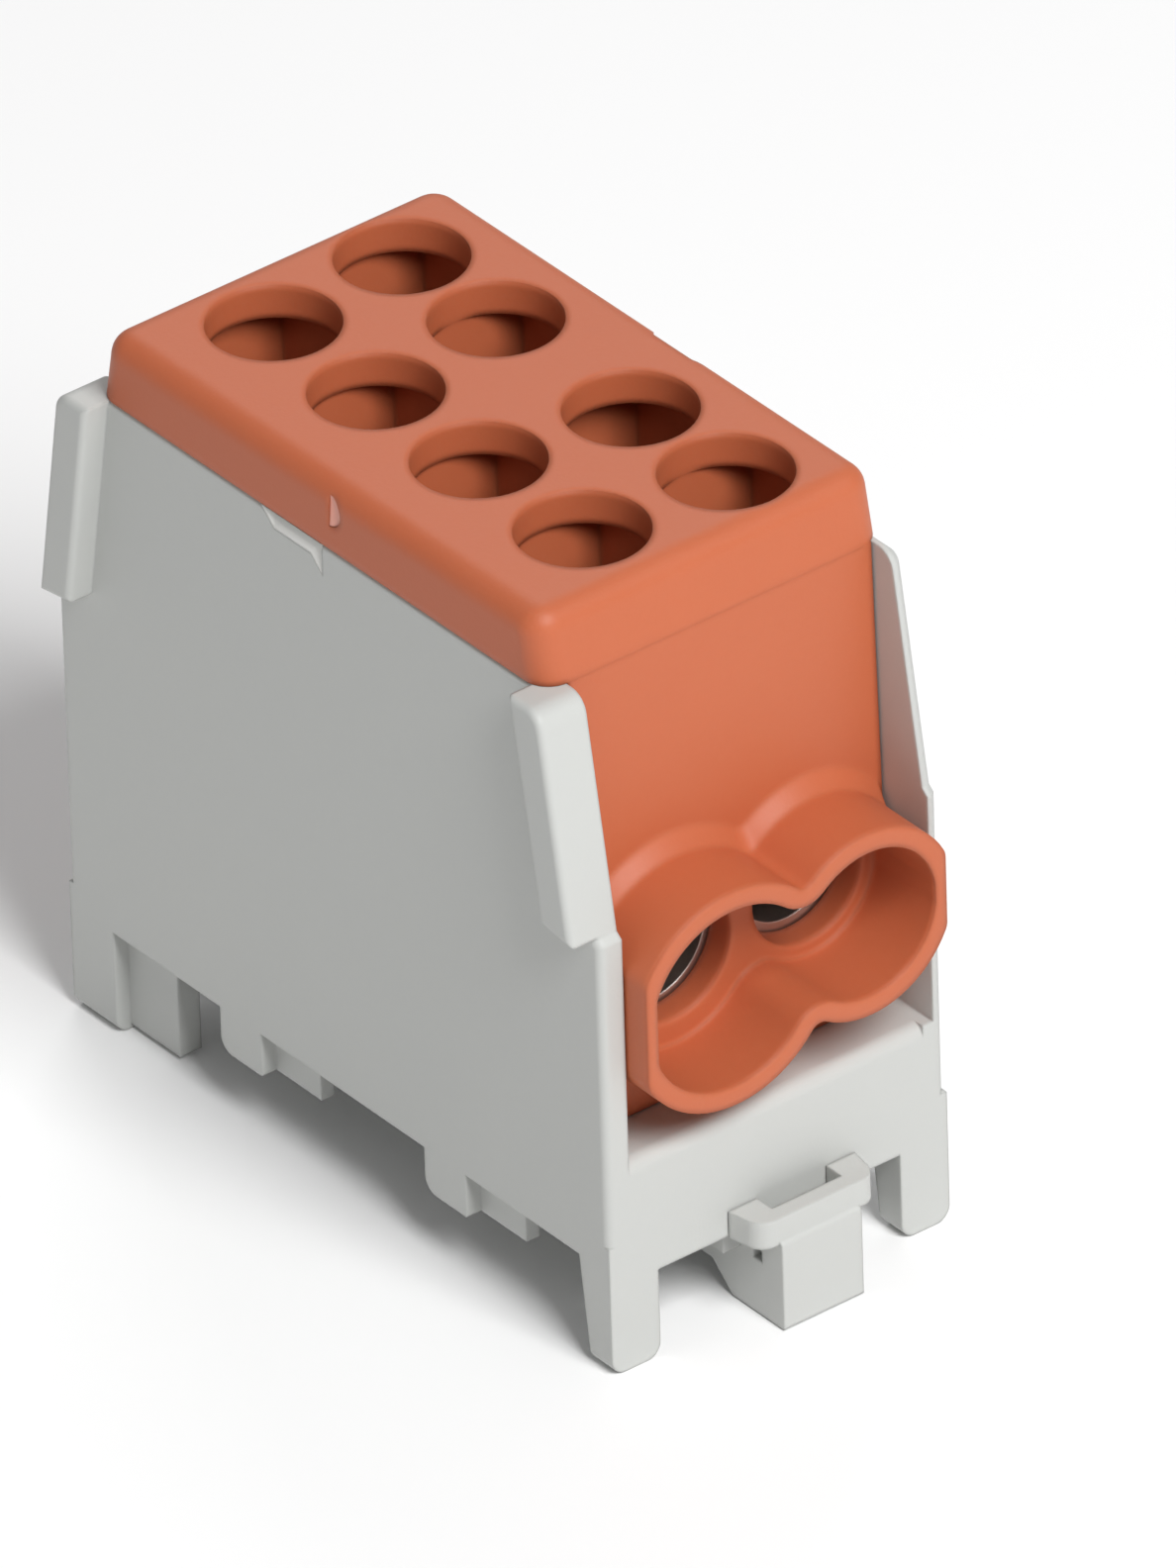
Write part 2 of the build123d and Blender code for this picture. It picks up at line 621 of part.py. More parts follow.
def make_cover():
    """The one-piece insulating cover with its eight access holes and two mouths."""
    cover = cover_cap() + cover_body()
    for end in (-1, 1):
        cover = add_mouth(cover, end)
    cover -= box_between(
        (-CAVITY_END, CAVITY_SIDES[-1], DECK_TOP - 1),
        (CAVITY_END, CAVITY_SIDES[1], TOP_HEIGHT - TOP_WALL),
    )
    for end in (-1, 1):
        cover = cut_mouth(cover, end)
    cover += make_screens()
    for x, y in access_places():
        cover -= Pos(x, y, (BLOCK_TOP + TOP_HEIGHT) / 2) * Cylinder(ACCESS_RADIUS, TOP_HEIGHT - BLOCK_TOP)
    cover -= far_notch()
    cover -= gate_mark()
    for side in (-1, 1):
        for x_middle in snap_positions():
            cover += snap_ridge(x_middle, side)
    return cover


def make_terminal_block():
    """The clamp bar: one through bore, two blind bores from the ends and eight threaded holes."""
    half_length = CAVITY_END - BLOCK_FIT
    block = box_between(
        (-half_length, CAVITY_SIDES[-1] + BLOCK_FIT, BLOCK_BOTTOM),
        (half_length, CAVITY_SIDES[1] - BLOCK_FIT, BLOCK_TOP),
    )
    block = chamfer(block.edges().filter_by(Axis.X), BLOCK_CHAMFER)
    block -= Pos(0, NEAR_ROW_Y, NEAR_LOBE_HEIGHT) * Rot(0, 90, 0) * Cylinder(
        NEAR_BORE_RADIUS, 2 * half_length + 2
    )
    depth = half_length - FAR_BORE_WEB / 2
    for end in (-1, 1):
        middle = end * (half_length + 1 - (depth + 1) / 2)
        block -= Pos(middle, FAR_ROW_Y, FAR_LOBE_HEIGHT) * Rot(0, 90, 0) * Cylinder(
            FAR_BORE_RADIUS, depth + 1
        )
    for x, y in access_places():
        low = NEAR_LOBE_HEIGHT if y == NEAR_ROW_Y else FAR_LOBE_HEIGHT
        block -= Pos(x, y, (low + BLOCK_TOP + 1) / 2) * Cylinder(
            SCREW_RADIUS + THREAD_CLEARANCE, BLOCK_TOP + 1 - low
        )
    return block


def make_clamp_screw(x, y):
    """A grub screw with a hexagon socket."""
    bottom = SHOE_BOTTOM + SHOE_THICKNESS + SHOE_GAP
    screw = Pos(x, y, (bottom + SCREW_TOP) / 2) * Cylinder(SCREW_RADIUS, SCREW_TOP - bottom)
    hexagon = Plane.XY.offset(SCREW_TOP) * Pos(x, y) * RegularPolygon(
        SOCKET_SIZE / 2, 6, major_radius=False
    )
    return screw - extrude(hexagon, amount=-SOCKET_DEPTH)


def make_pressure_foot(x, y):
    """The plate that presses on the wire and doesn't turn with its screw."""
    return box_between(
        (x - SHOE_LENGTH / 2, y - SHOE_WIDTH / 2, SHOE_BOTTOM),
        (x + SHOE_LENGTH / 2, y + SHOE_WIDTH / 2, SHOE_BOTTOM + SHOE_THICKNESS),
    )


def save(name, solid):
    """Move a piece into the part's frame and write it."""
    export_step(Pos(ORIGIN_SHIFT.X, ORIGIN_SHIFT.Y, ORIGIN_SHIFT.Z) * solid, f"parts/{name}.step")


os.makedirs("parts", exist_ok=True)
save("base", make_base())
save("rail_latch", make_rail_latch())
save("cover", make_cover())
save("terminal_block", make_terminal_block())
for number, (screw_x, screw_y) in enumerate(access_places(), start=1):
    save(f"clamp_screw_{number}", make_clamp_screw(screw_x, screw_y))
    save(f"pressure_foot_{number}", make_pressure_foot(screw_x, screw_y))
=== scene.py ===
"""Looks of the power distribution block: finishes, threaded screws, small trim, light and camera.

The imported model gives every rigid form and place. This script dresses those pieces, swaps the clamp
screws and pressure feet for fully detailed ones in the same places, adds two small trims of the
mouldings, and sets up a plain studio.
"""

import logging
import math
from dataclasses import dataclass, field
from enum import Enum

import bmesh
import bpy
from mathutils import Matrix, Vector


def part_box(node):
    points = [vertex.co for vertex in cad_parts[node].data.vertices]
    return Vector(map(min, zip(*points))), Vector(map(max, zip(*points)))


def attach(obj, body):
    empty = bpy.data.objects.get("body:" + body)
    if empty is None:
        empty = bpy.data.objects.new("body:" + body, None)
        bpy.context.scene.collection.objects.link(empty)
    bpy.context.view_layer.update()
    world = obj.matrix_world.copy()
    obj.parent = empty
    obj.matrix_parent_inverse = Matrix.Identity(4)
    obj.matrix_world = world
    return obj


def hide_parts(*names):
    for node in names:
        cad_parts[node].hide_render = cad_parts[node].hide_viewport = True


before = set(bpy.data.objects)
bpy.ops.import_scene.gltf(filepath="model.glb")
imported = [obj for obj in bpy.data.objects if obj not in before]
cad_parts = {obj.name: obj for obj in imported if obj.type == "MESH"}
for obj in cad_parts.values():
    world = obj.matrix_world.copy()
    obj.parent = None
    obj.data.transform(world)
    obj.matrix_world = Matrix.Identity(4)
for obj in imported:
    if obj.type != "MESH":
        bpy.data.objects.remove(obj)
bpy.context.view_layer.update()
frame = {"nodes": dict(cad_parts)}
LOG = logging.getLogger("distribution_block")
MM = 0.001
RIB_MM = 2.0  # how far the coupling ribs stand proud of the near plate
EDGE_SAMPLES = 6  # samples of the shader that eases the edges

Colour = tuple[float, float, float, float]
Ring = list[bmesh.types.BMVert]
WHITE: Colour = (1.0, 1.0, 1.0, 1)


class VaryingInput(Enum):
    """Inputs of the shader that a varying value feeds."""

    BASE_COLOR = "Base Color"
    ROUGHNESS = "Roughness"
    NORMAL = "Normal"


class Value:
    """A node socket that can be used in Python expressions; each operation adds a Math node."""

    def __init__(self, graph: "Graph", socket: bpy.types.NodeSocket) -> None:
        """Wraps a socket of a graph.

        Args:
            graph: The graph that the socket is in.
            socket: An output socket that carries a number.
        """
        self.graph = graph
        self.socket = socket

    def _math(self, operation: str, first: "Value | float", second: "Value | float") -> "Value":
        """Adds a Math node.

        Args:
            operation: The node's operation.
            first: The first operand.
            second: The second operand.

        Returns:
            The node's result.
        """
        node = self.graph.node("ShaderNodeMath", {"operation": operation}, {0: first, 1: second})
        return Value(self.graph, node.outputs[0])

    def __add__(self, other: "Value | float") -> "Value":
        """Sum."""
        return self._math("ADD", self, other)

    def __radd__(self, other: float) -> "Value":
        """Sum with a number on the left."""
        return self._math("ADD", other, self)

    def __sub__(self, other: "Value | float") -> "Value":
        """Difference."""
        return self._math("SUBTRACT", self, other)

    def __rsub__(self, other: float) -> "Value":
        """Difference from a number on the left."""
        return self._math("SUBTRACT", other, self)

    def __mul__(self, other: "Value | float") -> "Value":
        """Product."""
        return self._math("MULTIPLY", self, other)

    def __rmul__(self, other: float) -> "Value":
        """Product with a number on the left."""
        return self._math("MULTIPLY", other, self)


class Graph:
    """The node tree of one material."""

    def __init__(self, name: str) -> None:
        """Starts a material with a Principled shader.

        Args:
            name: The material's name.
        """
        self.material = bpy.data.materials.new(name)
        self.material.use_nodes = True
        self.tree = self.material.node_tree
        self.tree.nodes.clear()
        self.shader = self.tree.nodes.new("ShaderNodeBsdfPrincipled")
        output = self.tree.nodes.new("ShaderNodeOutputMaterial")
        self.tree.links.new(self.shader.outputs[0], output.inputs["Surface"])

    def node(self, kind: str, settings: dict, inputs: dict) -> bpy.types.Node:
        """Adds any node.

        Args:
            kind: The node's type.
            settings: Properties of the node, set before the inputs.
            inputs: Values or links of its sockets, by name or number.

        Returns:
            The new node.
        """
        node = self.tree.nodes.new(kind)
        for key, value in settings.items():
            setattr(node, key, value)
        for key, value in inputs.items():
            if isinstance(value, Value):
                value = value.socket
            if isinstance(value, bpy.types.NodeSocket):
                self.tree.links.new(value, node.inputs[key])
            else:
                node.inputs[key].default_value = value
        return node

    def noise(self, size_mm: float, detail: float) -> Value:
        """Noise with lumps of a real size.

        Args:
            size_mm: Size of a lump, in millimetres.
            detail: Octaves of detail.

        Returns:
            The noise, from 0 to 1.
        """
        place = self.node("ShaderNodeTexCoord", {}, {}).outputs["Object"]
        inputs = {"Vector": place, "Scale": 1 / (size_mm * MM), "Detail": detail}
        return Value(self, self.node("ShaderNodeTexNoise", {}, inputs).outputs[0])

    def mix(self, share: Value, first: Colour, second: Colour) -> bpy.types.NodeSocket:
        """Mixes two colours.

        Args:
            share: How much of the second colour, from 0 to 1.
            first: The first colour.
            second: The second colour.

        Returns:
            The mixed colour.
        """
        node = self.node("ShaderNodeMix", {"data_type": "RGBA"}, {0: share, 6: first, 7: second})
        return node.outputs[2]

    def eased_edges(self, radius_mm: float) -> bpy.types.NodeSocket:
        """The surface's normal with every sharp edge eased, as on a moulding.

        Args:
            radius_mm: Radius of the eased edges, in millimetres.

        Returns:
            The normal.
        """
        settings = {"samples": EDGE_SAMPLES}
        return self.node("ShaderNodeBevel", settings, {"Radius": radius_mm * MM}).outputs[0]

    def bump(self, height: Value, depth_mm: float, normal: bpy.types.NodeSocket) -> bpy.types.NodeSocket:
        """Turns a height into a bumped normal.

        Args:
            height: Height from 0 to 1.
            depth_mm: Depth that a height of 1 stands for, in millimetres.
            normal: The normal under the bumps.

        Returns:
            The normal.
        """
        inputs = {"Strength": 1.0, "Distance": depth_mm * MM, "Height": height, "Normal": normal}
        return self.node("ShaderNodeBump", {}, inputs).outputs[0]

    def vary(self, where: VaryingInput, value: "Value | bpy.types.NodeSocket") -> None:
        """Feeds a value that changes over the surface into the shader.

        Args:
            where: The input that it feeds.
            value: The value or socket.
        """
        source = value.socket if isinstance(value, Value) else value
        self.tree.links.new(source, self.shader.inputs[where.value])

    def fix(self, name: str, value: "float | tuple[float, ...]") -> None:
        """Sets an input of the shader that is the same all over the surface.

        Args:
            name: The input's name.
            value: A number, colour or vector.
        """
        self.shader.inputs[name].default_value = value


@dataclass(frozen=True)
class MouldedPlastic:
    """A matt moulded plastic with a fine spark-eroded grain.

    Attributes:
        name: The material's name.
        colour: Main colour, linear RGBA.
        shade: Slightly different colour of the flow marks, linear RGBA.
        glow: Distances that red, green and blue light travel in the plastic, relative to each other.
        edge_mm: Radius of the moulding's eased edges.
        roughness: Middle roughness.
        polish: How much smoother the plastic is where neither grain nor flow marks show.
        grain_rough: How much rougher the grain makes it.
        flow_rough: How much rougher the flow marks make it.
        flow_mm: Size of the flow marks.
        grain_mm: Size of the grain.
        grain_depth_mm: Depth of the grain.
        speck_ratio: Size of the specks, relative to the grain.
        speck_share: Share of the specks in the colour and in the grain.
        ior: Index of refraction.
        shine: Strength of its reflections, 0.5 being that of a plain plastic.
        glow_share: Share of the light that travels in the plastic.
        glow_mm: Farthest that it travels.
    """

    name: str
    colour: Colour
    shade: Colour
    glow: tuple[float, float, float]
    edge_mm: float = 0.35
    roughness: float = 0.48
    polish: float = 0.05
    grain_rough: float = 0.06
    flow_rough: float = 0.05
    flow_mm: float = 9.0
    grain_mm: float = 0.22
    grain_depth_mm: float = 0.012
    speck_ratio: float = 2.5
    speck_share: float = 0.3
    ior: float = 1.5
    shine: float = 0.35
    glow_share: float = 0.12
    glow_mm: float = 0.5

    def build(self) -> bpy.types.Material:
        """Makes the material.

        Returns:
            The material.
        """
        graph = Graph(self.name)
        flow = graph.noise(self.flow_mm, detail=3.0)
        grain = graph.noise(self.grain_mm, detail=2.0)
        speck = graph.noise(self.grain_mm * self.speck_ratio, detail=1.0) * self.speck_share
        main_share = 1 - self.speck_share
        graph.vary(VaryingInput.BASE_COLOR, graph.mix(flow * main_share + speck, self.colour, self.shade))
        rough = self.roughness - self.polish + grain * self.grain_rough + flow * self.flow_rough
        graph.vary(VaryingInput.ROUGHNESS, rough)
        eased = graph.eased_edges(self.edge_mm)
        graph.vary(VaryingInput.NORMAL, graph.bump(grain * main_share + speck, self.grain_depth_mm, eased))
        graph.fix("IOR", self.ior)
        graph.fix("Specular IOR Level", self.shine)
        graph.fix("Subsurface Weight", self.glow_share)
        graph.fix("Subsurface Radius", self.glow)
        graph.fix("Subsurface Scale", self.glow_mm * MM)
        return graph.material


@dataclass(frozen=True)
class PlatedMetal:
    """A plated metal with fine machining marks and a little dullness.

    Attributes:
        name: The material's name.
        colour: Colour of the plating, linear RGBA.
        dull: Colour of its dull patches, linear RGBA.
        roughness: Middle roughness.
        polish: How much smoother the metal is between patches and marks.
        dull_rough: How much rougher the dull patches are.
        mark_rough: How much rougher the fine marks are.
        dull_mm: Size of the dull patches.
        mark_mm: Spacing of the fine marks.
        mark_depth_mm: Depth of the fine marks.
        edge_mm: Radius of the eased edges.
    """

    name: str
    colour: Colour
    dull: Colour
    roughness: float = 0.3
    polish: float = 0.1
    dull_rough: float = 0.15
    mark_rough: float = 0.1
    dull_mm: float = 3.0
    mark_mm: float = 0.15
    mark_depth_mm: float = 0.004
    edge_mm: float = 0.15

    def build(self) -> bpy.types.Material:
        """Makes the material.

        Returns:
            The material.
        """
        graph = Graph(self.name)
        patch = graph.noise(self.dull_mm, detail=3.0)
        marks = graph.noise(self.mark_mm, detail=2.0)
        graph.vary(VaryingInput.BASE_COLOR, graph.mix(patch, self.colour, self.dull))
        graph.fix("Metallic", 1.0)
        rough = self.roughness - self.polish + patch * self.dull_rough + marks * self.mark_rough
        graph.vary(VaryingInput.ROUGHNESS, rough)
        eased = graph.eased_edges(self.edge_mm)
        graph.vary(VaryingInput.NORMAL, graph.bump(marks, self.mark_depth_mm, eased))
        return graph.material


@dataclass(frozen=True)
class StudioPaint:
    """The plain pale surface under the block.

    Attributes:
        name: The material's name.
        colour: Linear RGBA.
        roughness: Its roughness.
    """

    name: str
    colour: Colour
    roughness: float = 0.85

    def build(self) -> bpy.types.Material:
        """Makes the material.

        Returns:
            The material.
        """
        graph = Graph(self.name)
        graph.fix("Base Color", self.colour)
        graph.fix("Roughness", self.roughness)
        return graph.material


class Finishes:
    """Every finish of the block, made once and shared.

    Attributes:
        grey: Base and latch.
        terracotta: Cover.
        ramp: Floor of the pry recess, in a lighter copy of the base's grey plastic: a painted highlight.
        gate: Scar of the moulding gate.
        plated: Clamp bar.
        screw: Clamp screws.
        foot: Pressure feet.
    """

    def __init__(self) -> None:
        """Makes the materials."""
        grey_glow, terracotta_glow = (1.0, 1.0, 0.9), (1.0, 0.35, 0.15)
        self.grey = MouldedPlastic(
            "light_grey_plastic", (0.495, 0.505, 0.490, 1), (0.520, 0.526, 0.506, 1), grey_glow
        ).build()
        self.terracotta = MouldedPlastic(
            "terracotta_plastic", (0.480, 0.120, 0.049, 1), (0.510, 0.132, 0.057, 1), terracotta_glow,
            edge_mm=0.8,
        ).build()
        # Painted highlight: the recess floor is the same grey plastic as the base, painted much lighter so
        # that its lip looks lit.
        self.ramp = MouldedPlastic(
            "painted_highlight_grey_ramp_plastic", (0.780, 0.775, 0.745, 1), (0.740, 0.735, 0.700, 1), grey_glow,
            edge_mm=0.2,
        ).build()
        self.gate = MouldedPlastic(
            "terracotta_gate_scar", (0.820, 0.400, 0.320, 1), (0.760, 0.340, 0.260, 1), terracotta_glow,
            edge_mm=0.15,
        ).build()
        self.plated = PlatedMetal(
            "plated_bar_metal", (0.74, 0.72, 0.68, 1), (0.58, 0.56, 0.52, 1), roughness=0.38
        ).build()
        self.screw = PlatedMetal(
            "screw_steel_metal", (0.30, 0.29, 0.28, 1), (0.20, 0.19, 0.185, 1), roughness=0.34
        ).build()
        self.foot = PlatedMetal("foot_steel_metal", (0.52, 0.51, 0.49, 1), (0.42, 0.41, 0.40, 1)).build()


def dress(piece: bpy.types.Object, material: bpy.types.Material) -> None:
    """Gives every material slot of an object one material.

    Args:
        piece: The object.
        material: The material.
    """
    if not piece.material_slots:
        piece.data.materials.append(material)
    for slot in piece.material_slots:
        slot.material = material


def new_piece(name: str, mesh: bmesh.types.BMesh, smooth_degrees: float) -> bpy.types.Object:
    """Turns a bmesh into a shaded object of the scene.

    Args:
        name: The piece's name.
        mesh: The geometry, in metres, in the block's frame; it is freed.
        smooth_degrees: Edges that bend less than this are shaded smooth.

    Returns:
        The object.
    """
    bmesh.ops.recalc_face_normals(mesh, faces=mesh.faces)
    data = bpy.data.meshes.new(name)
    for face in mesh.faces:
        face.smooth = True
    limit = math.radians(smooth_degrees)
    for edge in mesh.edges:
        if len(edge.link_faces) == 2 and edge.calc_face_angle(0.0) > limit:
            edge.smooth = False
    mesh.to_mesh(data)
    mesh.free()
    piece = bpy.data.objects.new(name, data)
    bpy.context.scene.collection.objects.link(piece)
    return piece


def ring_of(mesh: bmesh.types.BMesh, points: list[Vector]) -> Ring:
    """Adds the vertices of one closed ring.

    Args:
        mesh: The bmesh to add to.
        points: The ring's points.

    Returns:
        The new vertices.
    """
    return [mesh.verts.new(point) for point in points]


def bridge(mesh: bmesh.types.BMesh, lower: Ring, upper: Ring) -> None:
    """Joins two rings of the same count with quads.

    Args:
        mesh: The bmesh to add to.
        lower: Vertices of the first ring.
        upper: Vertices of the second ring.
    """
    count = len(lower)
    for i in range(count):
        j = (i + 1) % count
        mesh.faces.new((lower[i], lower[j], upper[j], upper[i]))


def close_cone(mesh: bmesh.types.BMesh, ring: Ring, tip: Vector) -> None:
    """Closes a ring with triangles that meet in one point.

    Args:
        mesh: The bmesh to add to.
        ring: Vertices of the ring.
        tip: The point.
    """
    end = mesh.verts.new(tip)
    for i, corner in enumerate(ring):
        mesh.faces.new((corner, ring[(i + 1) % len(ring)], end))


@dataclass
class ClampScrew:
    """One grub screw with a real helical thread, a hexagon socket and a cupped end.

    Attributes:
        number: The screw's number, 1 to 8.
        pitch_mm: Thread pitch.
        thread_depth_mm: How deep the thread is cut.
        crest_share: Share of the half pitch that is the thread's flat crest.
        flank_share: Share of the half pitch that is its flank.
        socket_mm: Width across the flats of the socket.
        socket_depth_mm: Depth of the socket.
        lead_mm: Height of the lead-in at the socket's mouth.
        drill_share: Radius of the drilled point under the socket, over the socket's width.
        drill_depth_share: Depth of that point, over the socket's width.
        cup_mm: Radius of the shallow cup in the bottom end.
        cup_flatness: The cup's radius over its depth.
        chamfer_mm: Chamfer at both ends.
        sides: Facets round the screw.
        steps_per_turn: Rings for each turn of the thread.
        smooth_degrees: Edges that bend less than this are shaded smooth.
        centre: Middle of the solid that the screw replaces, in metres.
        radius: Radius of that solid, in metres.
        bottom: Z of its lower end, in metres.
        top: Z of its upper end, in metres.
        angles: Angle of each facet's corner, in radians.
    """

    number: int
    pitch_mm: float = 1.25
    thread_depth_mm: float = 0.55
    crest_share: float = 0.12
    flank_share: float = 0.72
    socket_mm: float = 5.0
    socket_depth_mm: float = 5.0
    lead_mm: float = 0.25
    drill_share: float = 0.42
    drill_depth_share: float = 0.2
    cup_mm: float = 1.6
    cup_flatness: float = 3.0
    chamfer_mm: float = 0.6
    sides: int = 48
    steps_per_turn: int = 8
    smooth_degrees: float = 35.0
    centre: Vector = field(init=False)
    radius: float = field(init=False)
    bottom: float = field(init=False)
    top: float = field(init=False)
    angles: list[float] = field(init=False)

    def __post_init__(self) -> None:
        """Takes the screw's place and size from its solid."""
        low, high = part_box(f"clamp_screw_{self.number}")
        self.centre = (low + high) / 2
        self.radius = (high.x - low.x) / 2
        self.bottom, self.top = low.z, high.z
        self.angles = [2 * math.pi * i / self.sides for i in range(self.sides)]

    def build(self, finish: bpy.types.Material) -> bpy.types.Object:
        """Builds the screw in the place of its solid.

        Args:
            finish: The screw's material.

        Returns:
            The screw.
        """
        mesh = bmesh.new()
        rings = self._thread(mesh)
        self._socket(mesh, rings[-1])
        self._cupped_end(mesh, rings[0])
        piece = new_piece(f"screw_{self.number}_threaded", mesh, self.smooth_degrees)
        dress(piece, finish)
        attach(piece, f"screw_{self.number}")
        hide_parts(f"clamp_screw_{self.number}")
        return piece

    def _point(self, radius: float, angle: float, height: float) -> Vector:
        """A point near the screw's axis.

        Args:
            radius: Distance from the axis, in metres.
            angle: Angle round it, in radians.
            height: Z, in metres.

        Returns:
            The point.
        """
        x = self.centre.x + radius * math.cos(angle)
        y = self.centre.y + radius * math.sin(angle)
        return Vector((x, y, height))

    def _circle(self, radius: float, height: float) -> list[Vector]:
        """Points of a circle round the screw's axis.

        Args:
            radius: The radius, in metres.
            height: Z, in metres.

        Returns:
            The points.
        """
        return [self._point(radius, angle, height) for angle in self.angles]

    def _hexagon(self, width: float, height: float) -> list[Vector]:
        """Points of the socket's hexagon, spread evenly over the angles of the rings.

        Args:
            width: Width across the flats, in metres.
            height: Z, in metres.

        Returns:
            The points.
        """
        points = []
        for angle in self.angles:
            from_flat = (angle + math.pi / 6) % (math.pi / 3) - math.pi / 6
            points.append(self._point(width / 2 / math.cos(from_flat), angle, height))
        return points

    def _profile(self, height: float, angle: float) -> float:
        """Radius of the threaded shank.

        Args:
            height: Z, in metres.
            angle: Angle round the axis, in radians.

        Returns:
            The radius, in metres.
        """
        turn = (height - self.bottom) / (self.pitch_mm * MM) - angle / (2 * math.pi)
        phase = abs((turn % 1.0) * 2 - 1)
        cut = min(1.0, max(0.0, (phase - self.crest_share) / self.flank_share))
        thread = self.radius - cut * self.thread_depth_mm * MM
        end = min(height - self.bottom, self.top - height)
        taper = self.radius - max(0.0, self.chamfer_mm * MM - end)
        return min(thread, taper)

    def _thread(self, mesh: bmesh.types.BMesh) -> list[Ring]:
        """Adds the shank with its thread.

        Args:
            mesh: The bmesh to add to.

        Returns:
            The rings, from bottom to top.
        """
        turns = (self.top - self.bottom) / (self.pitch_mm * MM)
        steps = math.ceil(turns * self.steps_per_turn)
        rings = []
        for step in range(steps + 1):
            height = self.bottom + (self.top - self.bottom) * step / steps
            points = [self._point(self._profile(height, angle), angle, height) for angle in self.angles]
            rings.append(ring_of(mesh, points))
        for lower, upper in zip(rings, rings[1:]):
            bridge(mesh, lower, upper)
        return rings

    def _socket(self, mesh: bmesh.types.BMesh, rim: Ring) -> None:
        """Adds the top face, the chamfered hexagon socket and its drilled point.

        Args:
            mesh: The bmesh to add to.
            rim: The shank's top ring.
        """
        width, lead = self.socket_mm * MM, self.lead_mm * MM
        corner = width / 2 / math.cos(math.pi / 6)
        floor = self.top - self.socket_depth_mm * MM
        mouth = ring_of(mesh, self._circle(corner + lead / 2, self.top))
        edge = ring_of(mesh, self._hexagon(width, self.top - lead))
        deep = ring_of(mesh, self._hexagon(width, floor))
        drill = ring_of(mesh, self._circle(width * self.drill_share, floor))
        for lower, upper in ((rim, mouth), (mouth, edge), (edge, deep), (deep, drill)):
            bridge(mesh, lower, upper)
        close_cone(mesh, drill, self._point(0.0, 0.0, floor - width * self.drill_depth_share))

    def _cupped_end(self, mesh: bmesh.types.BMesh, rim: Ring) -> None:
        """Adds the bottom face with its shallow cup.

        Args:
            mesh: The bmesh to add to.
            rim: The shank's bottom ring.
        """
        radius = self.cup_mm * MM
        cup = ring_of(mesh, self._circle(radius, self.bottom))
        bridge(mesh, rim, cup)
        close_cone(mesh, cup, self._point(0.0, 0.0, self.bottom + radius / self.cup_flatness))


@dataclass
class PressureFoot:
    """The plate under one screw, with eased edges and a shallow groove for the wire.

    Attributes:
        number: The foot's number, 1 to 8.
        edge_mm: Size of the eased edges.
        groove_mm: Half width of the groove.
        groove_depth_mm: Depth of the groove.
        smooth_degrees: Edges that bend less than this are shaded smooth.
    """

    number: int
    edge_mm: float = 0.3
    groove_mm: float = 1.5
    groove_depth_mm: float = 0.5
    smooth_degrees: float = 20.0

    def build(self, finish: bpy.types.Material) -> bpy.types.Object:
        """Builds the foot in the place of its solid.

        Args:
            finish: The foot's material.

        Returns:
            The foot.
        """
        node = f"pressure_foot_{self.number}"
        low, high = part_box(node)
        edge, groove, depth = self.edge_mm * MM, self.groove_mm * MM, self.groove_depth_mm * MM
        middle = (low.y + high.y) / 2
        outline = [
            (low.y + edge, low.z),
            (middle - groove, low.z), (middle, low.z + depth), (middle + groove, low.z),
            (high.y - edge, low.z), (high.y, low.z + edge),
            (high.y, high.z - edge), (high.y - edge, high.z),
            (low.y + edge, high.z), (low.y, high.z - edge), (low.y, low.z + edge),
        ]
        mesh = bmesh.new()
        back, front = (ring_of(mesh, [Vector((x, y, z)) for y, z in outline]) for x in (low.x, high.x))
        bridge(mesh, back, front)
        mesh.faces.new(back)
        mesh.faces.new(front)
        piece = new_piece(f"foot_{self.number}_plate", mesh, self.smooth_degrees)
        dress(piece, finish)
        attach(piece, f"foot_{self.number}")
        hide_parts(node)
        return piece


@dataclass
class Mouldings:
    """The plastic and metal bodies that keep their solid's shape and get a finish.

    Attributes:
        nodes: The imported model's objects by name.
    """

    nodes: dict[str, bpy.types.Object]

    def build(self, finishes: Finishes) -> None:
        """Dresses the base, latch, cover and clamp bar.

        Args:
            finishes: The block's materials.
        """
        for name, material in (
            ("base", finishes.grey),
            ("rail_latch", finishes.grey),
            ("cover", finishes.terracotta),
            ("terminal_block", finishes.plated),
        ):
            dress(self.nodes[name], material)
            LOG.info("dressed %s", name)


def near_face() -> float:
    """Y of the near plate's outer face, behind the coupling ribs, in metres."""
    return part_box("base")[0].y + RIB_MM * MM


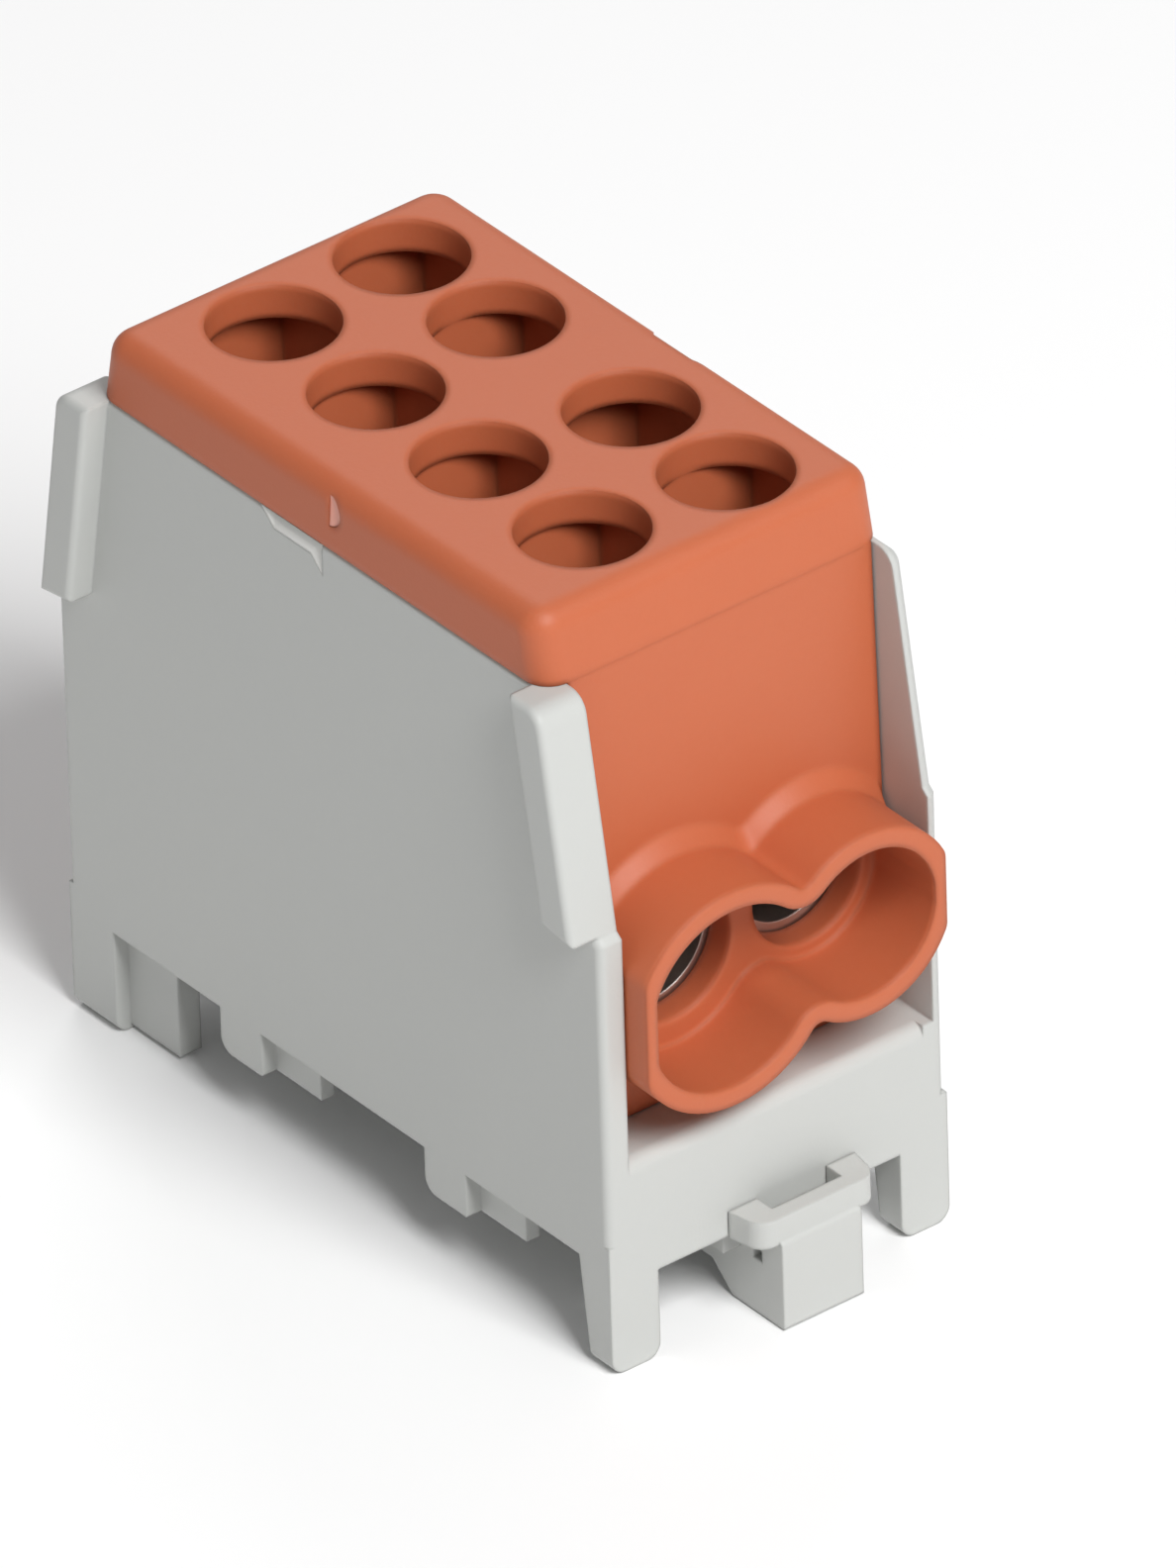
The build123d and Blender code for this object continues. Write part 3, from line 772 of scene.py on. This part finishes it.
@dataclass
class PryRamp:
    """The sloping floor of the recess in the near plate's top edge, where the cover is pried off.

    Attributes:
        start_mm: X of the recess's back end.
        length_mm: Length of the recess.
        height_mm: Height of the recess below the plate's top.
        fall_mm: How far the front end falls below that.
        crest_share: How far the crest stops short of the front end, over that fall.
        slope_mm: How far the ramp leans inwards over its height.
        depth_mm: Depth of the recess in the plate.
        smooth_degrees: Edges that bend less than this are shaded smooth.
    """

    start_mm: float = -6.65
    length_mm: float = 6.5
    height_mm: float = 1.3
    fall_mm: float = 1.2
    crest_share: float = 0.25
    slope_mm: float = 0.55
    depth_mm: float = 1.15
    smooth_degrees: float = 20.0

    def build(self, finish: bpy.types.Material) -> bpy.types.Object:
        """Builds the ramp against the plate's outer face.

        Args:
            finish: The ramp's material.

        Returns:
            The ramp.
        """
        face, top = near_face(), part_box("base")[1].z
        inner, hidden = face + self.slope_mm * MM, face + self.depth_mm * MM
        start, end = self.start_mm * MM, (self.start_mm + self.length_mm) * MM
        height, fall = self.height_mm * MM, self.fall_mm * MM
        edge = [
            (start, top), (start + height, top - height), (end - fall, top - height),
            (end, top - height - fall), (end, top),
        ]
        crest = [(end - fall * self.crest_share, top), (end - fall, top), (start + height, top)]
        mesh = bmesh.new()
        outer, ridge, back = (
            ring_of(mesh, [Vector((x, y, z)) for x, z in outline])
            for outline, y in ((edge, face), (crest, inner), (edge, hidden))
        )
        bridge(mesh, outer, back)
        for corners in (
            (outer[0], outer[1], ridge[2]),
            (outer[1], outer[2], ridge[1], ridge[2]),
            (outer[2], outer[3], ridge[0], ridge[1]),
            (outer[3], outer[4], ridge[0]),
            (outer[0], ridge[2], ridge[1], ridge[0], outer[4]),
            back,
        ):
            mesh.faces.new(corners)
        piece = new_piece("pry_ramp", mesh, self.smooth_degrees)
        dress(piece, finish)
        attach(piece, "root")
        return piece


@dataclass
class GateMark:
    """The light D-shaped scar of the moulding gate on the cap's near side.

    Attributes:
        x_mm: X of its straight edge.
        drop_mm: Height of its middle below the cover's top.
        radius_mm: Radius of its round edge.
        skin_mm: Least depth of its straight edge below the cap's side.
        sink_mm: How much deeper the round edge lies.
        depth_mm: Depth of the hollow that it lies in.
        round_mm: Radius of the cap's top edge.
        steps: Facets of the round edge.
        smooth_degrees: Edges that bend less than this are shaded smooth.
    """

    x_mm: float = 0.78
    drop_mm: float = 2.1
    radius_mm: float = 1.18
    skin_mm: float = 0.03
    sink_mm: float = 0.24
    depth_mm: float = 0.34
    round_mm: float = 1.7
    steps: int = 14
    smooth_degrees: float = 40.0

    def build(self, finish: bpy.types.Material) -> bpy.types.Object:
        """Builds the scar in its hollow.

        Args:
            finish: The scar's material.

        Returns:
            The scar.
        """
        face, top = near_face(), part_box("cover")[1].z
        cap_round = self.round_mm * MM
        front, back = [], []
        for i in range(self.steps + 1):
            angle = math.pi * (i / self.steps - 0.5)
            across, up = math.cos(angle), math.sin(angle)
            x = (self.x_mm + self.radius_mm * across) * MM
            z = top - (self.drop_mm - self.radius_mm * up) * MM
            over = max(0.0, z - (top - cap_round))
            inset = cap_round - math.sqrt(cap_round ** 2 - over ** 2)
            front.append(Vector((x, face + max(inset, self.skin_mm * MM) + self.sink_mm * across * MM, z)))
            back.append(Vector((x, face + inset + self.depth_mm * MM, z)))
        mesh = bmesh.new()
        shown, hidden = ring_of(mesh, front), ring_of(mesh, back)
        bridge(mesh, shown, hidden)
        bmesh.ops.triangulate(mesh, faces=[mesh.faces.new(shown), mesh.faces.new(hidden)])
        piece = new_piece("gate_mark", mesh, self.smooth_degrees)
        dress(piece, finish)
        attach(piece, "root")
        return piece


def direction(azimuth: float, elevation: float) -> Vector:
    """Unit vector from the block towards a viewer or lamp.

    Args:
        azimuth: Degrees; 0 is on the -Y side and 90 on the +X side.
        elevation: Degrees above the horizon.

    Returns:
        The vector.
    """
    a, e = math.radians(azimuth), math.radians(elevation)
    return Vector((math.sin(a) * math.cos(e), -math.cos(a) * math.cos(e), math.sin(e)))


@dataclass(frozen=True)
class SoftLamp:
    """A square soft lamp that shines on the block.

    Attributes:
        name: The lamp's name.
        azimuth: Degrees round the block, as for the camera.
        elevation: Degrees above the horizon.
        size: Side of the lamp, in metres.
        power: Power in watts.
        distance: Distance from the block, in metres.
    """

    name: str
    azimuth: float
    elevation: float
    size: float
    power: float
    distance: float = 1.2

    def build(self, target: Vector) -> None:
        """Adds the lamp.

        Args:
            target: The point that it shines at, in metres.
        """
        data = bpy.data.lights.new(self.name, "AREA")
        data.size = self.size
        data.energy = self.power
        lamp = bpy.data.objects.new(self.name, data)
        bpy.context.scene.collection.objects.link(lamp)
        back = direction(self.azimuth, self.elevation)
        lamp.location = target + back * self.distance
        lamp.rotation_mode = "QUATERNION"
        lamp.rotation_quaternion = (-back).to_track_quat("-Z", "Y")


@dataclass
class Studio:
    """Floor, light and camera.

    Attributes:
        azimuth: Degrees of the camera round the block, from straight behind -Y towards +X.
        elevation: Degrees of the camera above the horizon.
        roll: Degrees of the camera's roll.
        distance_mm: Distance from the camera to its aim.
        frame_height_mm: Height that the picture covers at that distance.
        aim_mm: Point that the picture is centred near.
        aim_right_mm: How far the picture's centre lies right of that point.
        aim_up_mm: How far it lies above it.
        sensor_mm: Size of the camera's sensor.
        clip: Nearest and farthest that the camera sees, in metres.
        floor_colour: The floor, linear RGBA.
        floor_reach: Distance from the floor's middle to its sides, in metres.
        floor_smooth_degrees: Edges of the floor that bend less than this are shaded smooth.
        sky: Strength of the even light from all round.
        lamps: The lamps: a strong one in front of the mouth end and a weak one behind the block.
    """

    azimuth: float = 52.521
    elevation: float = 33.619
    roll: float = -1.830
    distance_mm: float = 2500.0
    frame_height_mm: float = 104.58
    aim_mm: tuple[float, float, float] = (-0.5, 1.0, 28.0)
    aim_right_mm: float = 5.963
    aim_up_mm: float = -1.330
    sensor_mm: float = 36.0
    clip: tuple[float, float] = (0.1, 20.0)
    floor_colour: Colour = (0.95, 0.95, 0.95, 1)
    floor_reach: float = 4.0
    floor_smooth_degrees: float = 30.0
    sky: float = 0.285
    lamps: tuple[SoftLamp, ...] = (
        SoftLamp("key_lamp", azimuth=84.0, elevation=47.0, size=0.50, power=14.8),
        SoftLamp("back_lamp", azimuth=232.5, elevation=36.0, size=0.60, power=2.8),
    )

    def build(self) -> None:
        """Sets up the whole studio."""
        self._floor()
        self._world()
        for lamp in self.lamps:
            lamp.build(Vector(self.aim_mm) * MM)
        self._camera()

    def _floor(self) -> None:
        """Adds the plain pale floor, which isn't part of the block."""
        mesh = bmesh.new()
        bmesh.ops.create_grid(mesh, x_segments=1, y_segments=1, size=self.floor_reach)
        floor = new_piece("studio_floor", mesh, self.floor_smooth_degrees)
        dress(floor, StudioPaint("studio_floor_paint", self.floor_colour).build())

    def _world(self) -> None:
        """Sets an even soft light from all round."""
        world = bpy.data.worlds.new("studio_world")
        world.use_nodes = True
        background = world.node_tree.nodes["Background"]
        background.inputs["Color"].default_value = WHITE
        background.inputs["Strength"].default_value = self.sky
        bpy.context.scene.world = world
        bpy.context.scene.view_settings.view_transform = "Standard"

    def _camera(self) -> None:
        """Adds the camera at the photograph's angle."""
        data = bpy.data.cameras.new("photo_camera")
        data.sensor_width = self.sensor_mm
        data.lens = data.sensor_width * self.distance_mm / self.frame_height_mm
        data.clip_start, data.clip_end = self.clip
        camera = bpy.data.objects.new("photo_camera", data)
        bpy.context.scene.collection.objects.link(camera)
        back = direction(self.azimuth, self.elevation)
        across = math.radians(self.azimuth)
        level_right = Vector((math.cos(across), math.sin(across), 0))
        level_up = back.cross(level_right)
        turn = math.radians(self.roll)
        right = level_right * math.cos(turn) + level_up * math.sin(turn)
        up = level_up * math.cos(turn) - level_right * math.sin(turn)
        aim = Vector(self.aim_mm) + right * self.aim_right_mm + up * self.aim_up_mm
        place = (aim + back * self.distance_mm) * MM
        turned = Matrix((right, up, back)).transposed().to_4x4()
        camera.matrix_world = Matrix.Translation(place) @ turned
        bpy.context.scene.camera = camera


def main() -> None:
    """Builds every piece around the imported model."""
    logging.basicConfig(level=logging.INFO, format="%(message)s")
    finishes = Finishes()
    Mouldings(frame["nodes"]).build(finishes)
    # The ramp wears the lighter copy of the grey plastic, a painted highlight on the lip.
    LOG.info("built %s", PryRamp().build(finishes.ramp).name)
    LOG.info("built %s", GateMark().build(finishes.gate).name)
    screw_count = sum(name.startswith("clamp_screw_") for name in frame["nodes"])
    for number in range(1, screw_count + 1):
        LOG.info("built %s", ClampScrew(number).build(finishes.screw).name)
        LOG.info("built %s", PressureFoot(number).build(finishes.foot).name)
    Studio().build()


if __name__ == "__main__":
    main()
